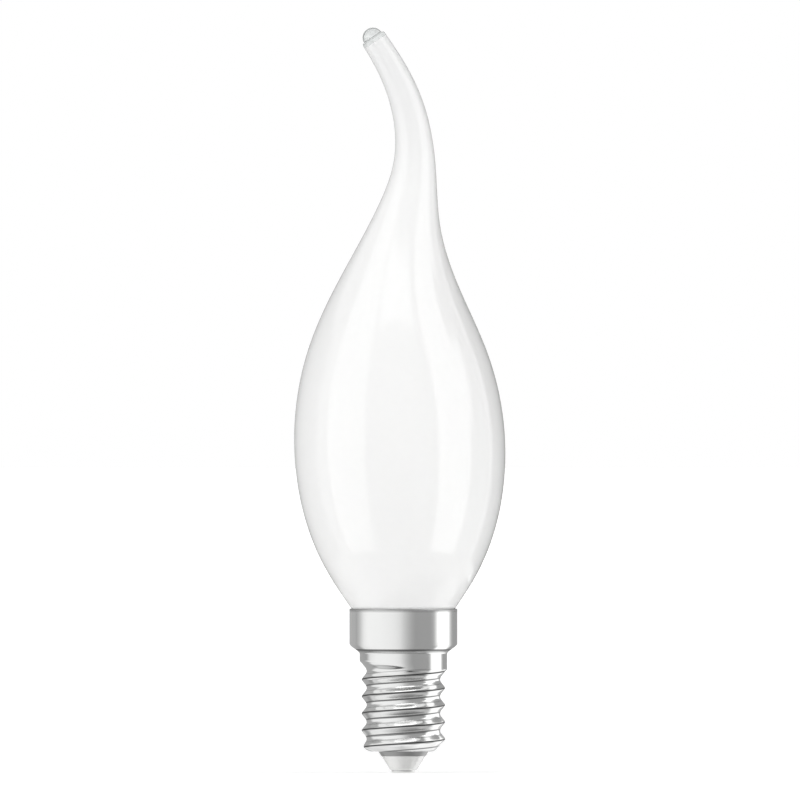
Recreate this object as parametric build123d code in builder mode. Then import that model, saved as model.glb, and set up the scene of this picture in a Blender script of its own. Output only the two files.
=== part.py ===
from build123d import *
from math import cos, radians
import os

# Candle bulb with a bent tip. Millimetres, +Z up the axis of the screw cap, with the origin
# in the middle of the contact's end face. The tail bends in the XZ plane, towards -X.

# Heights, stacked upwards from the contact's end face
contact_height = 0.5
cone_height = 2.3
lip_height = 0.75
groove_foot_height = 2.1
neck_height = 2.65
shoulder_height = 1.9
collar_height = 5.75

# Screw cap
thread_major_diameter = 13.9
thread_minor_diameter = 12.2
thread_pitch = 2.822
thread_crest_width = 0.3
thread_turns = 4
runout_arc = 120
neck_diameter = 14.5
collar_diameter = 17.9
collar_wall = 0.28
shoulder_round = 0.8
cap_end_round = 1.8
lip_top_diameter = 8.3
lip_diameter = 7.4

# Insulator and contact
cone_top_diameter = 7.2
cone_end_diameter = 4.7
cone_end_round = 0.3
spigot_diameter = 5.6
spigot_length = 1.2
contact_diameter = 3.9
contact_round = 0.35
shank_diameter = 1.5
shank_length = 1.6
fit_clearance = 0.05

# Glass bulb: the rise from each station to the next, its radius, and its centre's sway in X
seat_rise = 1.15
cement_gap = 0.08
lower_flank_rise = 6.5
lower_flank_radius = 12.7
lower_flank_sway = -0.05
belly_rise = 20.2
belly_diameter = 35
belly_sway = -0.6
upper_flank_rise = 15.9
upper_flank_radius = 14.9
upper_flank_sway = -1.05
shoulder_rise = 13.4
shoulder_radius = 9
shoulder_sway = -0.5
throat_rise = 8.2
throat_radius = 5.65
throat_sway = 0.55
bend_rise = 10.3
bend_radius = 3.4
bend_sway = 1.85
tail_rise = 9.1
tail_radius = 2.7
tail_sway = 0.57
hook_rise = 6.4
hook_radius = 2.31
hook_sway = -2.16
end_rise = 4.7
end_radius = 2.1
end_sway = -5.07
end_round = 0.3
bead_radius = 1.7

# Levels that follow from the heights
lip_z = contact_height + cone_height
cap_end_z = lip_z + lip_height
groove_foot_z = cap_end_z + groove_foot_height
neck_z = groove_foot_z + thread_turns * thread_pitch
shoulder_z = neck_z + neck_height
collar_z = shoulder_z + shoulder_height
rim_z = collar_z + collar_height
seat_z = collar_z + seat_rise

# Contact: a pressed button whose shank grips the insulator
with BuildPart() as centre_contact:
    with BuildSketch():
        Circle(contact_diameter / 2)
    extrude(amount=contact_height)
    fillet(centre_contact.edges().group_by(Axis.Z)[0], contact_round)
    with BuildSketch(Plane.XY.offset(contact_height)):
        Circle(shank_diameter / 2)
    extrude(amount=shank_length)

# Insulator: a moulded cone, with a spigot into the cap's end and a hole for the contact's shank
with BuildPart() as insulator:
    with BuildSketch(Plane.XY.offset(contact_height)):
        Circle(cone_end_diameter / 2)
    with BuildSketch(Plane.XY.offset(lip_z)):
        Circle(cone_top_diameter / 2)
    loft()
    fillet(insulator.edges().group_by(Axis.Z)[0], cone_end_round)
    with BuildSketch(Plane.XY.offset(lip_z)):
        Circle(spigot_diameter / 2)
    extrude(amount=spigot_length)
    with BuildSketch(Plane.XY.offset(contact_height)):
        Circle(shank_diameter / 2 + fit_clearance)
    extrude(amount=shank_length + fit_clearance, mode=Mode.SUBTRACT)

# Screw cap: a drawn blank, turned in at its lower end, with the thread rolled into it
crest_radius = thread_major_diameter / 2
root_radius = thread_minor_diameter / 2
neck_radius = neck_diameter / 2
collar_radius = collar_diameter / 2
thread_depth = crest_radius - root_radius
half_groove = (thread_pitch - thread_crest_width) / 2
groove_reach = max(neck_radius - crest_radius, 0) + fit_clearance
runout_shift = (thread_depth + groove_reach) / (1 - cos(radians(runout_arc)))

# The groove's line runs on the crests, each turn from -X, and its first turn runs in through the
# cap's end. Under the neck the groove stays level and climbs out of the sheet on a wider arc.
with BuildLine() as turn_line:
    Helix(thread_pitch, thread_pitch, crest_radius)
with BuildLine(Plane.XY.offset(neck_z)) as runout_line:
    CenterArc((runout_shift, 0), crest_radius + runout_shift, 180, runout_arc)
groove_paths = [
    turn_line.line.moved(Location((0, 0, groove_foot_z + turn * thread_pitch), (0, 0, 180)))
    for turn in range(-1, thread_turns)
]
groove_paths.append(runout_line.line)

with BuildPart() as screw_cap:
    with BuildSketch(Plane.XZ):
        with BuildLine():
            Polyline(
                (0, lip_z),
                (lip_diameter / 2, lip_z),
                (lip_top_diameter / 2, cap_end_z),
                (crest_radius, cap_end_z),
                (crest_radius, neck_z),
                (neck_radius, neck_z),
                (neck_radius, shoulder_z),
                (collar_radius, collar_z),
                (collar_radius, rim_z),
                (0, rim_z),
                close=True,
            )
        make_face()
    revolve(axis=Axis.Z)
    rings = screw_cap.edges().filter_by(GeomType.CIRCLE)
    fillet(rings.filter_by_position(Axis.Z, shoulder_z, collar_z), shoulder_round)
    rings = screw_cap.edges().filter_by(GeomType.CIRCLE)
    fillet(rings.filter_by_position(Axis.Z, cap_end_z, cap_end_z).sort_by(SortBy.RADIUS)[-1], cap_end_round)
    for path in groove_paths:
        with BuildSketch(Plane(origin=path @ 0, x_dir=(-1, 0, 0), z_dir=path % 0)):
            with BuildLine():
                ThreePointArc((0, -half_groove), (-thread_depth, 0), (0, half_groove))
                Polyline(
                    (0, half_groove),
                    (groove_reach, half_groove),
                    (groove_reach, -half_groove),
                    (0, -half_groove),
                )
            make_face()
        sweep(path=path, is_frenet=True, mode=Mode.SUBTRACT)
    with BuildSketch(Plane.XY.offset(seat_z)):
        Circle(collar_radius - collar_wall)
    extrude(amount=rim_z - seat_z, mode=Mode.SUBTRACT)
    with BuildSketch(Plane.XY.offset(lip_z)):
        Circle(spigot_diameter / 2 + fit_clearance)
    extrude(amount=spigot_length + fit_clearance, mode=Mode.SUBTRACT)

# Glass bulb: blown on a centre line that sways, drawn out to a bent tail and melted shut.
# Each point of its form holds the centre's sway, the radius and the height.
plug_radius = collar_radius - collar_wall - cement_gap
stations = [
    (lower_flank_rise, lower_flank_radius, lower_flank_sway),
    (belly_rise, belly_diameter / 2, belly_sway),
    (upper_flank_rise, upper_flank_radius, upper_flank_sway),
    (shoulder_rise, shoulder_radius, shoulder_sway),
    (throat_rise, throat_radius, throat_sway),
    (bend_rise, bend_radius, bend_sway),
    (tail_rise, tail_radius, tail_sway),
    (hook_rise, hook_radius, hook_sway),
    (end_rise, end_radius, end_sway),
]
form_points = [Vector(0, plug_radius, rim_z)]
for rise, radius, sway in stations:
    form_points.append(Vector(sway, radius, form_points[-1].Z + rise))
with BuildLine() as form:
    Spline(form_points)

section_count = 24
with BuildPart() as glass_bulb:
    with BuildSketch(Plane(origin=(0, 0, rim_z), x_dir=(0, 1, 0), z_dir=(0, 0, 1))):
        Circle(plug_radius)
    for index in range(1, section_count + 1):
        place = form.edge() @ (index / section_count)
        slope = form.edge() % (index / section_count)
        centre = Vector(place.X, 0, place.Z)
        along = Vector(slope.X, 0, slope.Z).normalized()
        with BuildSketch(Plane(origin=centre, x_dir=(0, 1, 0), z_dir=along)):
            Circle(place.Y)
    loft()
    fillet(glass_bulb.faces().filter_by(GeomType.PLANE).sort_by(Axis.Z)[-1].edges(), end_round)
    with Locations(centre):
        Sphere(bead_radius)
    with BuildSketch(Plane.XY.offset(seat_z)):
        Circle(plug_radius)
    extrude(amount=rim_z - seat_z)

os.makedirs("parts", exist_ok=True)
centre_contact.part.label = "centre_contact"
export_step(centre_contact.part, "parts/centre_contact.step")
insulator.part.label = "insulator"
export_step(insulator.part, "parts/insulator.step")
screw_cap.part.label = "screw_cap"
export_step(screw_cap.part, "parts/screw_cap.step")
glass_bulb.part.label = "glass_bulb"
export_step(glass_bulb.part, "parts/glass_bulb.step")
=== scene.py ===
import math

import bpy
import numpy as np
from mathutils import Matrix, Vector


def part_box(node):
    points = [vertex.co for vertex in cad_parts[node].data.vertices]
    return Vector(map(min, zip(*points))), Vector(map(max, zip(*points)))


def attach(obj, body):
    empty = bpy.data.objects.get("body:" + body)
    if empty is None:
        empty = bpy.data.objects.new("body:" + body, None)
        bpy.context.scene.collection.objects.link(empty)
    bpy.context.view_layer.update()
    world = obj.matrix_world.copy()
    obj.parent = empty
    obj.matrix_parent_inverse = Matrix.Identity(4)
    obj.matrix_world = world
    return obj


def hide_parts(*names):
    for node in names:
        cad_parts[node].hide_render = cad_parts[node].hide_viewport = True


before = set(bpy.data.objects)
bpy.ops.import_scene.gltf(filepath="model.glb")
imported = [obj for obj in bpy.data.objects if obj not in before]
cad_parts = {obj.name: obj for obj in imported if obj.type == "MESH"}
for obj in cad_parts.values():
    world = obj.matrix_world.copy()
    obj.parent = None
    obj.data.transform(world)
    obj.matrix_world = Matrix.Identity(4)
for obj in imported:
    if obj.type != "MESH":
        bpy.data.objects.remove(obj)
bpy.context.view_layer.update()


# Glass envelope
# A thin blown bulb of clear glass, dusted white on its inside, so it looks like milk glass under a
# hard gloss. Its neck is cemented into the cap's collar, and its tail was drawn out and bent while hot.
MM = 0.001
RING_POINTS = 128
tolerance = 0.01 * MM
weld_distance = 0.001 * MM
envelope_rings = 130
seat_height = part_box("glass_bulb")[0].z
rim_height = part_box("screw_cap")[1].z
clear_length = 0.35 * MM

# Sway of the centre line, radius and rise from the station below, in millimetres
envelope_stations = [
    (0, 8.59, 0),
    (-0.05, 12.7, 6.5),
    (-0.6, 17.488, 20.2),
    (-1.05, 14.9, 15.9),
    (-0.5, 9.0, 13.4),
    (0.55, 5.65, 8.2),
    (1.85, 3.4, 10.3),
    (0.57, 2.7, 9.1),
    (-2.16, 2.31, 6.4),
    (-5.07, 2.1, 4.7),
]
neck_radius = envelope_stations[0][1] * MM


def smooth_line(stations, count):
    """Points evenly spread along the smoothest curve that passes through all the stations."""
    points = np.array(stations)
    gaps = np.linalg.norm(np.diff(points, axis=0), axis=1)
    knots = np.insert(np.cumsum(gaps), 0, 0)
    slopes = np.diff(points, axis=0) / gaps[:, None]
    system = np.eye(len(points))
    bends = np.zeros_like(points)
    for i in range(1, len(gaps)):
        system[i, i - 1:i + 2] = gaps[i - 1], 2 * (gaps[i - 1] + gaps[i]), gaps[i]
        bends[i] = 6 * (slopes[i] - slopes[i - 1])
    bends = np.linalg.solve(system, bends)
    line = []
    for at in np.linspace(0, knots[-1], count):
        i = min(np.searchsorted(knots, at, side="right"), len(gaps)) - 1
        gap, before, after = gaps[i], at - knots[i], knots[i + 1] - at
        arch = (bends[i] * after**3 + bends[i + 1] * before**3) / (6 * gap)
        chord = (points[i] * after + points[i + 1] * before) / gap
        line.append(arch + chord - (bends[i] * after + bends[i + 1] * before) * gap / 6)
    return line


def start_ring(name, centre, radius, points=RING_POINTS):
    """A new piece in edit mode: one selected ring, with the piece's own origin in the frame's."""
    bpy.ops.object.select_all(action="DESELECT")
    bpy.ops.mesh.primitive_circle_add(vertices=points, radius=radius, location=centre)
    bpy.ops.object.transform_apply(location=True)
    piece = bpy.context.object
    piece.name = piece.data.name = name
    bpy.ops.object.mode_set(mode="EDIT")
    bpy.ops.mesh.select_all(action="SELECT")
    return piece


def draw_ring(move, centre, scale, tilt=0):
    """Extrudes the selected ring, then sizes and tilts it about its new centre."""
    bpy.ops.mesh.extrude_region_move(TRANSFORM_OT_translate={"value": move})
    bpy.ops.transform.resize(value=(scale, scale, scale), center_override=centre)
    if tilt:
        bpy.ops.transform.rotate(value=tilt, orient_axis="Y", center_override=centre)


def draw_along(rings):
    """Draws the selected ring on through (centre, radius, tilt) rows. The first row is where it is now."""
    for (centre, radius, tilt), (next_centre, next_radius, next_tilt) in zip(rings, rings[1:]):
        move = [b - a for a, b in zip(centre, next_centre)]
        draw_ring(move, next_centre, next_radius / radius, tilt - next_tilt)


def close_end():
    """Draws the selected ring in to a point."""
    bpy.ops.mesh.extrude_region_move()
    bpy.ops.mesh.merge(type="CENTER")


def select_ring(piece, wanted):
    """Selects the vertices whose place passes the test, in edit mode."""
    bpy.ops.object.mode_set(mode="OBJECT")
    for part in (piece.data.polygons, piece.data.edges):
        part.foreach_set("select", [False] * len(part))
    for vertex in piece.data.vertices:
        vertex.select = bool(wanted(vertex.co))
    bpy.ops.object.mode_set(mode="EDIT")
    bpy.ops.mesh.select_mode(type="VERT")


def finish_piece(piece, material, smooth_angle=60):
    """Leaves edit mode with the faces outwards, and shades the piece smooth up to that edge angle."""
    bpy.ops.mesh.select_all(action="SELECT")
    bpy.ops.mesh.remove_doubles(threshold=weld_distance)
    bpy.ops.mesh.normals_make_consistent(inside=False)
    bpy.ops.object.mode_set(mode="OBJECT")
    bpy.ops.object.shade_smooth_by_angle(angle=math.radians(smooth_angle))
    piece.data.materials.append(material)
    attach(piece, "root")


sway, radius, rise = np.array(envelope_stations).T * MM
heights = rim_height + np.cumsum(rise)
envelope_form = smooth_line(np.column_stack((sway, radius, heights)), envelope_rings)
tail_end = envelope_form[-1]
tail_slope = tail_end - envelope_form[-2]
tail_tilt = math.atan2(tail_slope[0], tail_slope[2])
tail_axis = np.array((math.sin(tail_tilt), 0, math.cos(tail_tilt)))
tail_centre = np.array((tail_end[0], 0, tail_end[2]))
tail_radius = tail_end[1]

form_rows = []
for below, place in zip([envelope_form[0], *envelope_form], envelope_form):
    slope = place - below
    tilt = math.atan2(slope[0], slope[2])
    form_rows.append(((place[0], 0, place[2]), place[1], tilt))


def past_end(place):
    """How far a place lies past the tail's end, along the tail."""
    return (np.array(place) - tail_centre) @ tail_axis


coated_rows = [row for row in form_rows if past_end(row[0]) < -clear_length]
envelope = start_ring("glass_envelope", (0, 0, seat_height), neck_radius)
draw_along([((0, 0, seat_height), neck_radius, 0), *coated_rows])
close_end()
select_ring(envelope, lambda co: co.z < seat_height + tolerance)
close_end()


def new_material(name):
    """A new material and its shader."""
    material = bpy.data.materials.new(name)
    material.use_nodes = True
    return material, material.node_tree.nodes["Principled BSDF"]


def set_inputs(owner, node, inputs):
    """Joins each input of a node to another node's output, or sets it to a plain value."""
    for socket, value in inputs:
        if isinstance(value, bpy.types.NodeSocket):
            owner.node_tree.links.new(value, node.inputs[socket])
        else:
            node.inputs[socket].default_value = value


def add_node(owner, kind, inputs=(), **settings):
    """Adds a node to a material or a world, with its settings and its inputs."""
    node = owner.node_tree.nodes.new(kind)
    for name, value in settings.items():
        setattr(node, name, value)
    set_inputs(owner, node, inputs)
    return node


def object_noise(material, scale, detail=3.0, stretch=(1, 1, 1)):
    """Noise on the piece's own coordinates, with features of about 1 / scale metres."""
    places = add_node(material, "ShaderNodeTexCoord").outputs["Object"]
    mapping = add_node(material, "ShaderNodeMapping", [("Vector", places), ("Scale", stretch)])
    inputs = [("Vector", mapping.outputs["Vector"]), ("Scale", scale), ("Detail", detail)]
    return add_node(material, "ShaderNodeTexNoise", inputs).outputs["Fac"]


def spread(owner, value, low, high, start=0.3, end=0.7):
    """Maps a value, from start to end, to the range from low to high."""
    inputs = [("Value", value), ("From Min", start), ("From Max", end), ("To Min", low), ("To Max", high)]
    return add_node(owner, "ShaderNodeMapRange", inputs).outputs["Result"]


def blend_colours(material, share, first, second):
    """Mixes two colours by a share. Each is a plain colour or another node's output."""
    first_socket, second_socket, mixed_socket = 6, 7, 2
    inputs = [("Factor", share), (first_socket, first), (second_socket, second)]
    return add_node(material, "ShaderNodeMix", inputs, data_type="RGBA").outputs[mixed_socket]


def add_bump(material, height, strength, distance, normal=None):
    """A bump whose hills are that many metres high, on the piece's own normal or another."""
    inputs = [("Height", height), ("Strength", strength), ("Distance", distance)]
    if normal:
        inputs.append(("Normal", normal))
    return add_node(material, "ShaderNodeBump", inputs).outputs["Normal"]


# The dusted coating is a little uneven. Towards the tail it is painted greyer, as painted shade. Blown glass
# is never quite flat or quite clean.
coat_grey = (0.925, 0.925, 0.92, 1)
coat_white = (0.945, 0.945, 0.94, 1)
tail_shade_grey = (0.875, 0.877, 0.875, 1)
tail_shade_from = 97 * MM
tail_shade_full_at = 112 * MM
glass_index = 1.5
opal_glass, shader = new_material("opal_glass")
dusting = object_noise(opal_glass, scale=900, detail=4)
coated = blend_colours(opal_glass, dusting, coat_grey, coat_white)
places = add_node(opal_glass, "ShaderNodeTexCoord").outputs["Object"]
height = add_node(opal_glass, "ShaderNodeSeparateXYZ", [("Vector", places)]).outputs["Z"]
# Painted shade: the coating greys with height towards the tail
tail_shade = spread(opal_glass, height, 0, 1, start=tail_shade_from, end=tail_shade_full_at)
handling = object_noise(opal_glass, scale=70)
waves = object_noise(opal_glass, scale=45, detail=1, stretch=(1, 1, 0.4))
set_inputs(opal_glass, shader, [
    ("Base Color", blend_colours(opal_glass, tail_shade, coated, tail_shade_grey)),
    ("Roughness", spread(opal_glass, handling, low=0.07, high=0.12)),
    ("Normal", add_bump(opal_glass, waves, strength=0.05, distance=0.2 * MM)),
    ("IOR", glass_index),
])
finish_piece(envelope, opal_glass)
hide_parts("glass_bulb")


# Sealed tip
# The end of the tail was melted shut. Past the white coating the tube is clear and solid, with a
# rounded rim and a round bead on it.
tail_round = 0.3 * MM
bead_radius = 1.69 * MM
overlap = 0.06 * MM
round_angles = [12 * step for step in range(8)]
bead_angles = [2 + 5.6 * step for step in range(16)]
white_centre, white_radius, white_tilt = coated_rows[-1]
root_centre = tuple(np.array(white_centre) - tail_axis * overlap)
root_depth = past_end(root_centre)
tip_rows = [(root_centre, white_radius - overlap, white_tilt), (white_centre, white_radius, white_tilt)]
for angle in round_angles:
    turn = math.radians(angle)
    centre = tail_centre + tail_axis * tail_round * (math.sin(turn) - 1)
    tip_rows.append((tuple(centre), tail_radius - tail_round * (1 - math.cos(turn)), tail_tilt))
for angle in bead_angles:
    turn = math.radians(angle)
    centre = tail_centre + tail_axis * bead_radius * math.sin(turn)
    tip_rows.append((tuple(centre), bead_radius * math.cos(turn), tail_tilt))
tip = start_ring("sealed_tip", root_centre, white_radius - overlap)
bpy.ops.transform.rotate(value=-white_tilt, orient_axis="Y", center_override=root_centre)
draw_along(tip_rows)
close_end()
select_ring(tip, lambda co: past_end(co) < root_depth + overlap / 2)
close_end()

melted_tint = (0.69, 0.71, 0.705, 1)
clear_glass, shader = new_material("clear_glass")
melt_marks = object_noise(clear_glass, scale=900)
melt_waves = object_noise(clear_glass, scale=500, detail=0)
set_inputs(clear_glass, shader, [
    ("Base Color", melted_tint),
    ("Transmission Weight", 1),
    ("IOR", glass_index),
    ("Roughness", spread(clear_glass, melt_marks, low=0.0, high=0.04)),
    ("Normal", add_bump(clear_glass, melt_waves, strength=0.06, distance=0.1 * MM)),
])
finish_piece(tip, clear_glass, smooth_angle=40)


# Screw cap
# Thin sheet, drawn to a cup with a collar, a shoulder and a neck, then rolled with a round thread
# and plated with nickel. The collar is cemented to the glass, and the end is turned in on the insulator.
CAP_POINTS = 224
sheet = 0.28 * MM
collar_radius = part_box("screw_cap")[1].x
rim_round = 0.12 * MM
seat_floor = seat_height - 0.1 * MM
shoulder_top = 21.49 * MM
shoulder_foot = 19.73 * MM
shoulder_steps = 40
cap_neck_radius = 7.25 * MM
crest_radius = 6.95 * MM
root_radius = 6.1 * MM
thread_pitch = 2.822 * MM
thread_turns = 4
thread_step = 0.05 * MM
groove_foot = 5.65 * MM
neck_foot = groove_foot + thread_turns * thread_pitch
flare_foot = neck_foot - 0.2 * MM
flare_top = neck_foot + 0.1 * MM
end_height = 3.55 * MM
end_round = 1.8 * MM
end_edge_radius = crest_radius - end_round
lip_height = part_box("screw_cap")[0].z
lip_round = 0.05 * MM
lip_edge_radius = 3.7 * MM - lip_round
lip_top_radius = 4.15 * MM
spigot_hole_radius = 2.85 * MM
spigot_hole_height = lip_height + 1.25 * MM


def arc_rows(centre_radius, centre_height, size, start, end, steps):
    """(radius, height) rows on an arc, between two angles in degrees from the outward direction."""
    rows = []
    for step in range(steps + 1):
        turn = math.radians(start + (end - start) * step / steps)
        rows.append((centre_radius + size * math.cos(turn), centre_height + size * math.sin(turn)))
    return rows


def even_rows(first, last, step):
    """(radius, height) rows on a straight line, about a step apart, without the first."""
    count = max(1, round(math.dist(first, last) / step))
    return [tuple(a + (b - a) * i / count for a, b in zip(first, last)) for i in range(1, count + 1)]


def turned_piece(name, wall, points=RING_POINTS):
    """A round piece in edit mode, drawn through (radius, height) rows and closed at both ends."""
    start_radius, start_height = wall[0]
    piece = start_ring(name, (0, 0, start_height), start_radius, points)
    draw_along([((0, 0, height), radius, 0) for radius, height in wall])
    close_end()
    reach = start_radius + tolerance
    select_ring(piece, lambda co: abs(co.z - start_height) < tolerance and co.xy.length < reach)
    close_end()
    return piece


# The blank, from the middle of the spigot's hole round the outside to the middle of the glass's seat
blank = [
    (spigot_hole_radius, spigot_hole_height),
    (spigot_hole_radius, lip_height),
    (lip_edge_radius, lip_height),
]
blank += arc_rows(lip_edge_radius, lip_height + lip_round, lip_round, -90, 0, steps=3)
blank += even_rows(blank[-1], (lip_top_radius, end_height), step=0.2 * MM)
blank += even_rows(blank[-1], (end_edge_radius, end_height), step=0.15 * MM)
blank += arc_rows(end_edge_radius, end_height + end_round, end_round, -86, 0, steps=48)
blank += even_rows(blank[-1], (crest_radius, flare_foot), thread_step)
blank += even_rows(blank[-1], (cap_neck_radius, flare_top), thread_step)
blank += even_rows(blank[-1], (cap_neck_radius, shoulder_foot), 2 * thread_step)
shoulder_rise = shoulder_top - shoulder_foot
shoulder_width = collar_radius - cap_neck_radius
for step in range(1, shoulder_steps + 1):
    share = step / shoulder_steps
    ease = share * share * (3 - 2 * share)
    blank.append((cap_neck_radius + shoulder_width * ease, shoulder_foot + shoulder_rise * share))
blank += even_rows(blank[-1], (collar_radius, rim_height - rim_round), step=0.5 * MM)
blank += arc_rows(collar_radius - rim_round, rim_height - rim_round, rim_round, 0, 90, steps=5)[1:]
blank += arc_rows(collar_radius - sheet + rim_round, rim_height - rim_round, rim_round, 90, 180, steps=5)
blank += [(collar_radius - sheet, seat_floor)]
cap = turned_piece("screw_cap_shell", blank, CAP_POINTS)

# The rolled groove. Its section is halfway between a hollow and a wave, so its flanks are nearly
# straight. Past the last turn it stays level under the neck and climbs out of the sheet.
groove_half_width = 1.36 * MM
thread_depth = crest_radius - root_radius
wave_share = 0.5
crest_blend = 0.16 * MM
neck_blend = 0.25 * MM
runout_degrees = 120
runout_climb = 1.25 * MM
runout_shift = runout_climb / (1 - math.cos(math.radians(runout_degrees)))
runout_end = 140
runout_widening = 60
runout_fading = 40
first_turn = -1
last_turn = thread_turns - 1


def groove_floor(offset, lift=0):
    """Radius of the groove's surface at that height above or below its centre line."""
    hollow = (offset / groove_half_width) ** 2
    wave = (1 - math.cos(math.pi * offset / groove_half_width)) / 2
    if abs(offset) >= groove_half_width:
        wave = hollow
    return root_radius + lift + thread_depth * ((1 - wave_share) * hollow + wave_share * wave)


def soft_min(a, b, blend):
    """The smaller of two radii, with the corner between them rounded."""
    mix = max(0, min(1, 0.5 + 0.5 * (b - a) / blend))
    return b + (a - b) * mix - blend * mix * (1 - mix)


def turns_climbed(height, angle):
    """Turns of the thread up to a height, with the angle in degrees from -X, the way it climbs."""
    return (height - groove_foot) / thread_pitch - angle / 360


def rolled_radius(radius, height, angle):
    """Radius of the rolled sheet, from the blank's."""
    drawn_in = max(0, crest_radius - radius)
    climb = turns_climbed(height, angle)
    turn = max(first_turn, min(last_turn, round(climb)))
    blend = neck_blend if turn == last_turn and climb > last_turn else crest_blend
    rolled = soft_min(radius + drawn_in, groove_floor((climb - turn) * thread_pitch), blend)
    if angle < runout_end:
        lift = runout_shift * (1 - math.cos(math.radians(angle)))
        blend = neck_blend * (1 + angle / runout_widening) * min(1, (runout_end - angle) / runout_fading)
        rolled = soft_min(rolled, groove_floor(height - neck_foot, lift), blend)
    return rolled - drawn_in


def fading_line(distance, half_width, strength):
    """Strength of a line at a distance from its middle. It is below zero past the line's edges."""
    return strength * (1 - abs(distance) / half_width)


# The thread is rolled in. Dark lines are painted along three lines of each turn, as painted shade in place
# of the dark reflections along the thread, and painted shade is laid on the rim, on the lip and in the
# crease under the shoulder. The shoulder's round is marked for its shading.
thread_limit = shoulder_foot - 0.5 * MM
lines_limit = neck_foot + 0.3 * MM
crest_line_rise = 0.02 * MM
crest_line_half = 0.17 * MM
crest_line_strength = 1.7
upper_line_drop = 1.08 * MM
upper_line_half = 0.15 * MM
upper_line_strength = 1.4
upper_line_most = 0.78
lower_line_rise = 0.8 * MM
lower_line_half = 0.12 * MM
lower_line_strength = 0.5
painted_edge_shade = 0.6
rim_band = rim_round * 1.1
crease_height = 20.42 * MM
crease_top = 0.2 * MM
crease_fade = 0.8 * MM
crease_strength = 1.4
painted_crease_shade = 0.9
bpy.ops.object.mode_set(mode="OBJECT")
# Painted shade: a share of near black per point, for dark lines along the thread in place of its dark
# reflections, and for shade on the rim, the lip and the crease
painted_shade = np.zeros(len(cap.data.vertices))
upright = np.zeros(len(cap.data.vertices))
for vertex in cap.data.vertices:
    x, y, height = vertex.co
    radius = math.hypot(x, y)
    angle = (math.degrees(math.atan2(y, x)) - 180) % 360
    if end_height - tolerance < height < thread_limit and radius > lip_top_radius + tolerance:
        if radius < end_edge_radius:
            edge = rolled_radius(end_edge_radius, end_height, angle)
            reach = (radius - lip_top_radius) / (end_edge_radius - lip_top_radius)
            rolled = lip_top_radius + (edge - lip_top_radius) * reach
        else:
            rolled = rolled_radius(radius, height, angle)
        vertex.co.x, vertex.co.y = x * rolled / radius, y * rolled / radius
        above_crest = (turns_climbed(height, angle) % 1 - 0.5) * thread_pitch
        # Painted shade: dark lines just above each crest, lower on the upper flank and under the crest
        if height < lines_limit:
            crest_line = fading_line(above_crest - crest_line_rise, crest_line_half, crest_line_strength)
            upper_line = fading_line(above_crest + upper_line_drop, upper_line_half, upper_line_strength)
            lower_line = fading_line(above_crest - lower_line_rise, lower_line_half, lower_line_strength)
            painted_shade[vertex.index] = np.clip(max(crest_line, min(upper_line_most, upper_line), lower_line), 0, 1)
    # Painted shade along the rim and round the lip's edge
    elif height > rim_height - rim_band:
        painted_shade[vertex.index] = painted_edge_shade
    elif height < end_height + tolerance and radius > lip_edge_radius:
        painted_shade[vertex.index] = painted_edge_shade
    # Painted shade in the crease under the shoulder, fading out below it
    elif height > crease_height:
        crease = fading_line(height - crease_height, crease_top, crease_strength)
        painted_shade[vertex.index] = np.clip(crease, 0, painted_crease_shade)
        upright[vertex.index] = height < shoulder_top
    elif height > crease_height - crease_fade:
        painted_shade[vertex.index] = painted_crease_shade * (1 - (crease_height - height) / crease_fade) ** 2
cap.data.attributes.new("painted_shade", "FLOAT", "POINT").data.foreach_set("value", painted_shade)
cap.data.attributes.new("upright", "FLOAT", "POINT").data.foreach_set("value", upright)
bpy.ops.object.mode_set(mode="EDIT")

tarnished_nickel = (0.78, 0.785, 0.78, 1)
bright_nickel = (0.81, 0.81, 0.805, 1)
# Painted shade: the near black colour and rougher finish laid on where shade is painted
painted_shade_colour = (0.05, 0.05, 0.05, 1)
painted_shade_roughness = 0.5
shoulder_tilt_share = 0.05
nickel, shader = new_material("nickel_plate")
tarnish = object_noise(nickel, scale=260, detail=4)
plating = blend_colours(nickel, tarnish, tarnished_nickel, bright_nickel)
# The share of painted shade, read from the cap's points
painted_shade_share = add_node(nickel, "ShaderNodeAttribute", attribute_name="painted_shade").outputs["Fac"]
rolling_marks = object_noise(nickel, scale=500, detail=5, stretch=(1, 1, 12))
polish = spread(nickel, rolling_marks, low=0.08, high=0.16)

# The shoulder's round is shaded almost upright, so it carries the collar's reflections to the crease
facing = add_node(nickel, "ShaderNodeNewGeometry").outputs["Normal"]
shoulder = add_node(nickel, "ShaderNodeAttribute", attribute_name="upright").outputs["Fac"]
tilt_kept = spread(nickel, shoulder, 1, shoulder_tilt_share, start=0, end=1)
kept = add_node(nickel, "ShaderNodeCombineXYZ", [("X", 1), ("Y", 1), ("Z", tilt_kept)]).outputs["Vector"]
level = add_node(nickel, "ShaderNodeVectorMath", [(0, facing), (1, kept)], operation="MULTIPLY")
level = add_node(nickel, "ShaderNodeVectorMath", [(0, level.outputs["Vector"])], operation="NORMALIZE")
marks = add_bump(nickel, rolling_marks, strength=0.03, distance=0.02 * MM, normal=level.outputs["Vector"])
# The base colour goes to near black where shade is painted
set_inputs(nickel, shader, [
    ("Metallic", 1),
    ("Base Color", blend_colours(nickel, painted_shade_share, plating, painted_shade_colour)),
    ("Roughness", spread(nickel, painted_shade_share, polish, painted_shade_roughness, start=0, end=1)),
    ("Normal", marks),
])
finish_piece(cap, nickel, smooth_angle=50)
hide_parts("screw_cap")


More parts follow.
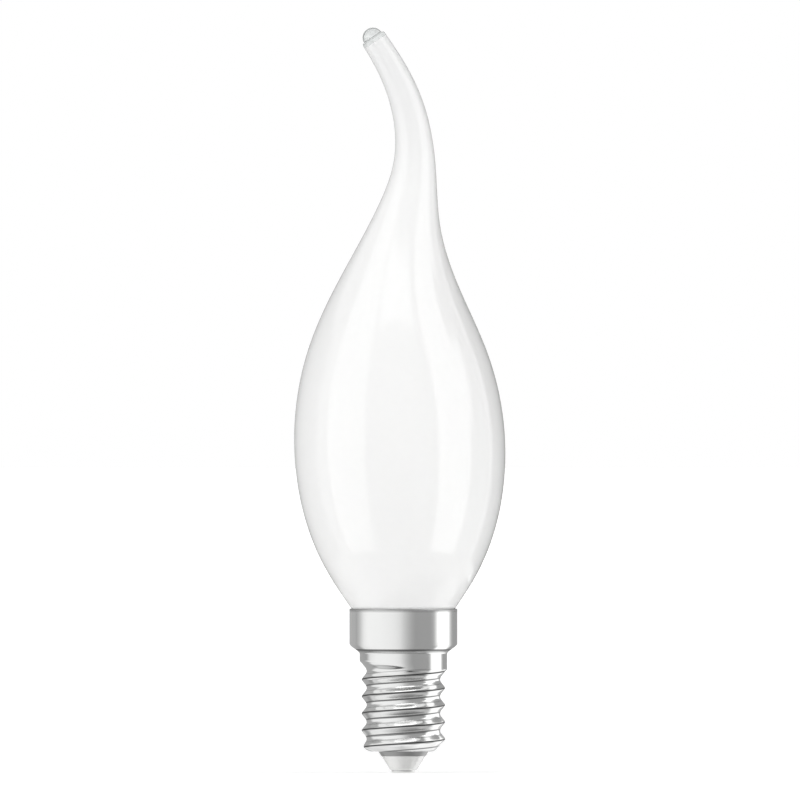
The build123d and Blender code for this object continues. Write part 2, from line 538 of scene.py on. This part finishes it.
# Insulator
# A glossy pale moulding that fills the cap's end and carries the contact. It tapers to the contact
# and has a small round at its foot.
cone_top_radius = 3.6 * MM
cone_end_radius = 2.35 * MM
cone_middle_radius = 1.0 * MM
cone_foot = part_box("insulator")[0].z
cone_round = 0.3 * MM
spigot_radius = 2.8 * MM
spigot_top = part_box("insulator")[1].z
cone_flat_radius = cone_end_radius - cone_round
cone_wall = [(cone_middle_radius, cone_foot), (cone_flat_radius, cone_foot)]
cone_wall += arc_rows(cone_flat_radius, cone_foot + cone_round, cone_round, -80, -25, steps=6)
cone_wall += even_rows(cone_wall[-1], (cone_top_radius, lip_height), step=0.25 * MM)
cone_wall += [(spigot_radius, lip_height), (spigot_radius, spigot_top)]
insulator = turned_piece("insulator_cone", cone_wall)

clouded_pale = (0.80, 0.80, 0.79, 1)
clean_pale = (0.84, 0.84, 0.83, 1)
moulding, shader = new_material("pale_moulding")
clouding = object_noise(moulding, scale=600)
mould_finish = object_noise(moulding, scale=1500)
mould_waves = object_noise(moulding, scale=900, detail=2)
set_inputs(moulding, shader, [
    ("Metallic", 0.4),
    ("Base Color", blend_colours(moulding, clouding, clouded_pale, clean_pale)),
    ("Roughness", spread(moulding, mould_finish, low=0.10, high=0.2)),
    ("Normal", add_bump(moulding, mould_waves, strength=0.1, distance=0.05 * MM)),
])
finish_piece(insulator, moulding, smooth_angle=50)
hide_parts("insulator")


# Centre contact
# A low pressed button of tinned metal in the middle of the insulator's foot, soldered to the lamp's
# inner wire.
contact_points = 96
contact_radius = 1.95 * MM
contact_round = 0.35 * MM
contact_middle_radius = 0.55 * MM
contact_flat_radius = contact_radius - contact_round
button = [(contact_middle_radius, 0.0), (contact_flat_radius, 0.0)]
button += arc_rows(contact_flat_radius, contact_round, contact_round, -80, 0, steps=8)
button += [(contact_radius, cone_foot)]
contact = turned_piece("centre_contact_button", button, contact_points)

dull_tin = (0.82, 0.82, 0.81, 1)
bright_tin = (0.88, 0.88, 0.87, 1)
tinned, shader = new_material("tinned_metal")
dulling = object_noise(tinned, scale=1400, detail=4)
set_inputs(tinned, shader, [
    ("Metallic", 1),
    ("Base Color", blend_colours(tinned, dulling, dull_tin, bright_tin)),
    ("Roughness", spread(tinned, dulling, low=0.4, high=0.55)),
    ("Normal", add_bump(tinned, dulling, strength=0.2, distance=0.03 * MM)),
])
finish_piece(contact, tinned, smooth_angle=50)
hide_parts("centre_contact")


# Studio
# A white floor in a white surround, two tall soft boxes, a thin rear strip and a top light. Cards, a
# bright wing and a small tent round the cap, which only reflections see, give glass and plating edges.
white = (1, 1, 1, 1)
floor_grey = (0.85, 0.85, 0.85, 1)
floor_roughness = 0.9
floor_size = 40.0
floor_gap = 0.05 * MM
bpy.ops.object.select_all(action="DESELECT")
bpy.ops.mesh.primitive_plane_add(size=floor_size, location=(0, 0, -floor_gap))
floor = bpy.context.object
floor.name = "floor"
floor.visible_glossy = False

# The floor glows as a lit backdrop where it is seen, and more weakly where it only lights the bulb
floor_white, shader = new_material("floor_white")
places = add_node(floor_white, "ShaderNodeTexCoord").outputs["Object"]
away = add_node(floor_white, "ShaderNodeVectorMath", [(0, places)], operation="LENGTH").outputs["Value"]
backing = spread(floor_white, away, low=0.45, high=0.85, start=0.2, end=1.0)
bounce = spread(floor_white, away, low=0.33, high=0.1, start=0.06, end=0.35)
paths = add_node(floor_white, "ShaderNodeLightPath")
sight = [(0, paths.outputs["Is Camera Ray"]), (1, paths.outputs["Is Transmission Ray"])]
seen = add_node(floor_white, "ShaderNodeMath", sight, operation="MAXIMUM").outputs["Value"]
set_inputs(floor_white, shader, [
    ("Base Color", floor_grey),
    ("Roughness", floor_roughness),
    ("Emission Color", white),
    ("Emission Strength", spread(floor_white, seen, bounce, backing, start=0, end=1)),
])
floor.data.materials.append(floor_white)

# The light on the bulb is weaker from behind than from the front
light_behind = 0.1
light_in_front = 0.52
light_turn = 55
light_edge = 0.4
surround = bpy.data.worlds.new("surround")
bpy.context.scene.world = surround
surround.use_nodes = True
directions = add_node(surround, "ShaderNodeTexCoord").outputs["Generated"]
turning = [("Vector", directions), ("Angle", math.radians(light_turn))]
turned = add_node(surround, "ShaderNodeVectorRotate", turning, rotation_type="Z_AXIS").outputs["Vector"]
depth = add_node(surround, "ShaderNodeSeparateXYZ", [("Vector", turned)]).outputs["Y"]
falloff = spread(surround, depth, light_behind, light_in_front, start=light_edge, end=-light_edge)

# Camera, reflections and clear glass see a plain white surround
paths = add_node(surround, "ShaderNodeLightPath")
shown = paths.outputs["Is Camera Ray"]
for kind in ("Is Glossy Ray", "Is Transmission Ray"):
    either = [(0, shown), (1, paths.outputs[kind])]
    shown = add_node(surround, "ShaderNodeMath", either, operation="MAXIMUM").outputs["Value"]
backdrop = surround.node_tree.nodes["Background"]
strength = spread(surround, shown, falloff, 1, start=0, end=1)
set_inputs(surround, backdrop, [("Color", white), ("Strength", strength)])

bulb_middle = rim_height + 30 * MM


def around(azimuth, distance, height):
    """A place round the bulb. The azimuth is in degrees from the camera's side, to the camera's right."""
    turn = math.radians(azimuth)
    return (distance * math.sin(turn), -distance * math.cos(turn), height)


def soft_box(name, azimuth, distance, height, width, tall, brightness):
    """A rectangular lamp that faces the bulb, of an even brightness, where 1 is white."""
    bpy.ops.object.light_add(type="AREA", location=around(azimuth, distance, height))
    lamp = bpy.context.object
    lamp.name = name
    lamp.data.shape = "RECTANGLE"
    lamp.data.size = width
    lamp.data.size_y = tall
    lamp.data.energy = brightness * math.pi * width * tall
    lamp.visible_camera = False
    dip = math.atan2(height - bulb_middle, distance)
    lamp.rotation_euler = (math.pi / 2 - dip, 0, math.radians(azimuth))


soft_box("left_box", azimuth=-62, distance=0.7, height=0.1, width=0.62, tall=1.7, brightness=1.26)
soft_box("right_box", azimuth=63.5, distance=0.7, height=0.1, width=0.52, tall=1.7, brightness=1.82)
soft_box("rear_strip", azimuth=117, distance=0.7, height=0.1, width=0.03, tall=0.9, brightness=0.6)
soft_box("top_box", azimuth=0, distance=0.35, height=0.8, width=0.6, tall=0.5, brightness=1.4)

card_step = 3


def reflector(name, profile, start=-180, end=180):
    """A curved card round the bulb that only reflections see.

    Each row of its profile is a radius, a height and (azimuth, level) pairs.
    """
    steps = int((end - start) / card_step)
    azimuths = [start + (end - start) * i / steps for i in range(steps + 1)]
    points = [around(azimuth, radius, height) for radius, height, shades in profile for azimuth in azimuths]
    width = len(azimuths)
    faces = [
        (j * width + i, j * width + i + 1, (j + 1) * width + i + 1, (j + 1) * width + i)
        for j in range(len(profile) - 1)
        for i in range(steps)
    ]
    mesh = bpy.data.meshes.new(name)
    mesh.from_pydata(points, [], faces)
    levels = np.concatenate([np.interp(azimuths, *zip(*shades)) for radius, height, shades in profile])
    colours = np.column_stack((levels, levels, levels, np.ones_like(levels)))
    mesh.color_attributes.new("shade", "FLOAT_COLOR", "POINT").data.foreach_set("color", colours.ravel())
    card = bpy.data.objects.new(name, mesh)
    bpy.context.scene.collection.objects.link(card)
    card.visible_camera = card.visible_diffuse = card.visible_shadow = card.visible_transmission = False
    material, shader = new_material(name)
    shade = add_node(material, "ShaderNodeAttribute", attribute_name="shade").outputs["Color"]
    set_inputs(material, shader, [
        ("Base Color", (0, 0, 0, 1)),
        ("Specular IOR Level", 0),
        ("Emission Color", shade),
        ("Emission Strength", 1),
    ])
    mesh.materials.append(material)


# Tall cards behind the bulb darken the glass's edges
rear_distance = 0.9
rear_foot = -1.4
rear_top = 0.5
mid_grey = [(-180, 0.3), (180, 0.3)]
dark_grey = [(-180, 0.12), (180, 0.12)]
for name, grey, start, end in (
    ("left_rear_card", mid_grey, -180, -104),
    ("right_rear_card", dark_grey, 122, 180),
):
    reflector(name, [(rear_distance, rear_foot, grey), (rear_distance, rear_top, grey)], start, end)

# A bright wing widens the right box's reflection on the upper glass. Its bright part grows upwards.
wing_distance = 0.7
wing_start = 78
wing_end = 105
wing_bright = 2.8
wing_white = 1.0
wing_fade = 2
wing = []
for height, edge in ((0.1, 82), (0.24, 90), (0.5, 97)):
    bright_part = [(wing_start, wing_bright), (edge, wing_bright)]
    white_part = [(edge + wing_fade, wing_white), (wing_end, wing_white)]
    wing.append((wing_distance, height, bright_part + white_part))
reflector("right_wing", wing, wing_start, wing_end)

# A small tent round the cap. Its wall is light on the left, fades to grey past the middle and has one
# bright strip on the right. Below the cap's level come a dark belt and a pale floor, and a lid lies
# over the wall, with a back of its own that the glass sees.
fade = [
    (-40, 1.07), (-19, 1.01), (-13, 0.97), (-6, 0.885), (0.5, 0.72), (7, 0.58), (14, 0.457), (21, 0.386),
]
collar_wall = [
    (-180, 0.5), (-105, 0.5), (-101, 0.43), (-89, 0.62), (-77, 0.98), (-67, 1.09), *fade,
    (49, 0.386), (56, 0.5), (61, 1.0), (66, 1.5), (91, 1.5), (94, 1.3), (99, 0.77), (106, 0.46),
    (115, 0.39), (180, 0.39),
]
neck_wall = [
    (-180, 0.45), (-97, 0.42), (-90, 0.75), (-84, 0.95), (-67, 1.06), *fade,
    (59, 0.386), (64, 0.6), (68, 1.4), (101, 1.4), (106, 0.6), (112, 0.4), (180, 0.39),
]
thread_wall = [
    (-180, 0.45), (-112, 0.45), (-98, 1.0), (-67, 1.08), *fade,
    (60, 0.386), (64, 0.5), (69, 1.4), (129, 1.4), (137, 0.5), (180, 0.42),
]
belt_top = [
    (-180, 0.85), (-150, 0.8), (-130, 0.4), (-112, 0.4), (-98, 0.8), (-60, 0.7), (-30, 0.35), (0, 0.2),
    (15, 0.2), (28, 0.28), (70, 0.28), (78, 1.3), (130, 1.3), (138, 0.6), (150, 0.85), (180, 0.85),
]
belt = [
    (-180, 0.85), (-150, 0.8), (-130, 0.35), (-115, 0.35), (-100, 0.6), (-60, 0.5), (-28, 0.1),
    (10, 0.06), (25, 0.18), (68, 0.18), (80, 1.3), (132, 1.3), (140, 0.6), (150, 0.85), (180, 0.85),
]
belt_foot = [
    (-180, 0.85), (-150, 0.8), (-130, 0.4), (-125, 0.4), (-110, 0.8), (-60, 0.6), (-28, 0.5),
    (10, 0.35), (28, 0.3), (86, 0.28), (96, 1.3), (140, 1.3), (148, 0.7), (180, 0.85),
]
outer_floor = [
    (-180, 0.6), (-140, 0.9), (-60, 1.05), (-25, 0.95), (0, 0.7), (20, 0.58), (100, 0.58), (112, 1.2),
    (140, 1.1), (160, 0.5), (180, 0.6),
]
inner_floor = [
    (-180, 0.9), (-140, 0.95), (-90, 0.9), (-55, 0.8), (-20, 0.6), (0, 0.42), (60, 0.36), (72, 0.5),
    (84, 1.2), (120, 1.2), (155, 0.95), (180, 0.9),
]
middle_floor = [(-180, 0.7), (-90, 1.1), (0, 1.0), (90, 1.1), (180, 0.7)]
lid = [
    (-180, 0.5), (-130, 0.5), (-110, 1.0), (-30, 1.0), (-10, 0.8), (0, 0.62), (12, 0.45), (25, 0.4),
    (76, 0.4), (84, 1.3), (150, 1.3), (160, 0.5), (180, 0.5),
]
lid_edge = [
    (-180, 0.4), (-110, 0.7), (-30, 0.6), (0, 0.35), (25, 0.25), (78, 0.25), (86, 1.2), (150, 1.2),
    (160, 0.4), (180, 0.4),
]
lid_back = [(-180, 0.25), (-100, 0.25), (-75, 1.0), (75, 1.0), (100, 0.25), (180, 0.25)]
lid_rim = [
    (-180, 0.25), (-100, 0.25), (-75, 1.0), (75, 1.0), (85, 1.3), (105, 1.3), (115, 0.25), (180, 0.25),
]

# Radius and height in millimetres, from the middle of the tent's floor up the wall and over the lid
tent = [
    (1, -20, middle_floor),
    (7, -19.2, middle_floor),
    (11, -17.5, inner_floor),
    (14, -15.5, inner_floor),
    (16.5, -12.2, outer_floor),
    (19.5, -7, outer_floor),
    (20.2, -5.5, belt_foot),
    (21.2, -2.5, belt_foot),
    (21.6, -1, belt),
    (22, 1, belt),
    (22, 2.2, belt_top),
    (22, 4, thread_wall),
    (22, 16, thread_wall),
    (22, 16.8, neck_wall),
    (22, 19.5, neck_wall),
    (22, 20.8, collar_wall),
    (22, 28.5, collar_wall),
    (21.5, 28.6, lid),
    (15.6, 28.6, lid),
    (15.2, 28.6, lid_edge),
    (14.7, 28.6, lid_edge),
    (14.6, 28.7, lid_back),
    (15.8, 28.7, lid_back),
    (16.6, 28.7, lid_rim),
    (22.2, 28.9, lid_rim),
]
reflector("cap_tent", [(radius * MM, height * MM, levels) for radius, height, levels in tent])


# Camera
# It stands far off, level with the middle of the picture, so that the bulb is seen nearly without
# perspective, at the place and the size that it has in the photograph.
photo_pixels = 800
pixels_per_mm = 6.03
bulb_axis_pixel = 403.4
bulb_foot_pixel = 773.0
camera_distance = 4.5
view_width = photo_pixels / pixels_per_mm * MM
middle_x = (photo_pixels / 2 - bulb_axis_pixel) / pixels_per_mm * MM
middle_z = (bulb_foot_pixel - photo_pixels / 2) / pixels_per_mm * MM
camera = bpy.data.objects.new("camera", bpy.data.cameras.new("camera"))
bpy.context.scene.collection.objects.link(camera)
camera.location = (middle_x, -camera_distance, middle_z)
camera.rotation_euler = (math.pi / 2, 0, 0)
camera.data.lens = camera.data.sensor_width * camera_distance / view_width
camera.data.clip_end = 100
bpy.context.scene.camera = camera
bpy.context.scene.view_settings.view_transform = "Standard"
